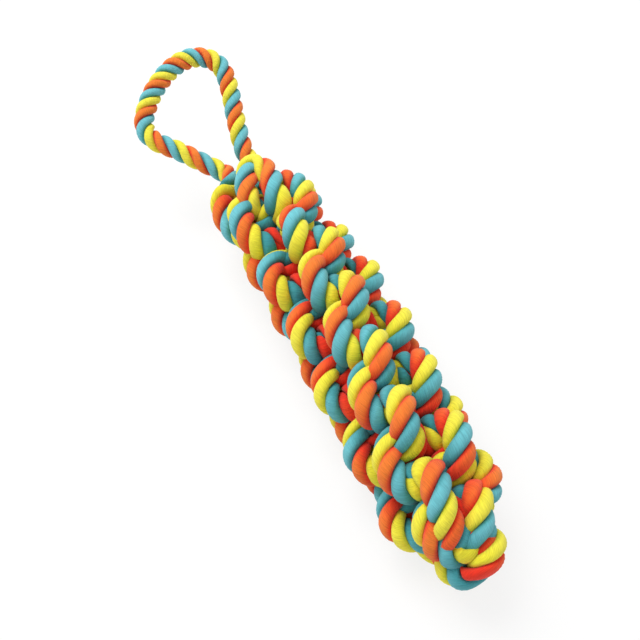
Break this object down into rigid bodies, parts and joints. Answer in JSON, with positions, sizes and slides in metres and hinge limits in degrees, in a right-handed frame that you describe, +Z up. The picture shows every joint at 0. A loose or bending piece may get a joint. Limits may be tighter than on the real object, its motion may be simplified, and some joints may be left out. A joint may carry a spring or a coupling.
{
  "type": "rope dog toy",
  "caption": "Soft dog toy of multicoloured cotton rope crowned into a thick bendable stick, with a rope handle loop at one end for tugging and throwing",
  "frame": {"origin": "middle of the bounding box, on the surface that the toy lies on", "axes": "+X along the body to its free end, the handle loop towards -X, +Z up"},
  "size_m": [0.3454, 0.0922, 0.0766],
  "materials": {
    "orange_cotton": "matte spun cotton",
    "yellow_cotton": "matte spun cotton",
    "teal_cotton": "matte spun cotton"
  },
  "bodies": {
    "lower_half": {"lower_loop_rope_left": "orange_cotton", "lower_loop_rope_right": "orange_cotton", "lower_cross_rope_upper": "teal_cotton", "lower_cross_rope_lower": "teal_cotton"},
    "middle": {"middle_loop_rope_left": "orange_cotton", "middle_loop_rope_right": "orange_cotton", "middle_cross_rope_upper": "teal_cotton", "middle_cross_rope_lower": "teal_cotton"},
    "upper_half": {"upper_loop_rope_left": "orange_cotton", "upper_loop_rope_right": "orange_cotton", "upper_cross_rope_upper": "teal_cotton", "upper_cross_rope_lower": "teal_cotton"},
    "handle_loop": {"handle_right_leg": "yellow_cotton", "handle_bow": "yellow_cotton", "handle_left_leg": "yellow_cotton"}
  },
  "joints": [
    {"name": "body_bend_side", "type": "hinge", "parent": "lower_half", "child": "middle", "pos_m": [0.0694, 0.0123, 0.0324], "axis": [0, 0, 1], "range_deg": [-15, 15], "deforming": ["middle_loop_rope_left", "middle_loop_rope_right", "middle_cross_rope_upper", "middle_cross_rope_lower"]},
    {"name": "body_bend_up", "type": "hinge", "parent": "middle", "child": "upper_half", "pos_m": [0.0694, 0.0123, 0.0324], "axis": [0, 1, 0], "range_deg": [0, 18], "deforming": ["middle_loop_rope_left", "middle_loop_rope_right", "middle_cross_rope_upper", "middle_cross_rope_lower"]},
    {"name": "loop_fold", "type": "hinge", "parent": "upper_half", "child": "handle_loop", "pos_m": [-0.0919, 0.0039, 0.0324], "axis": [0, 1, 0], "range_deg": [-45, 55], "deforming": ["handle_right_leg", "handle_left_leg"]}
  ]
}
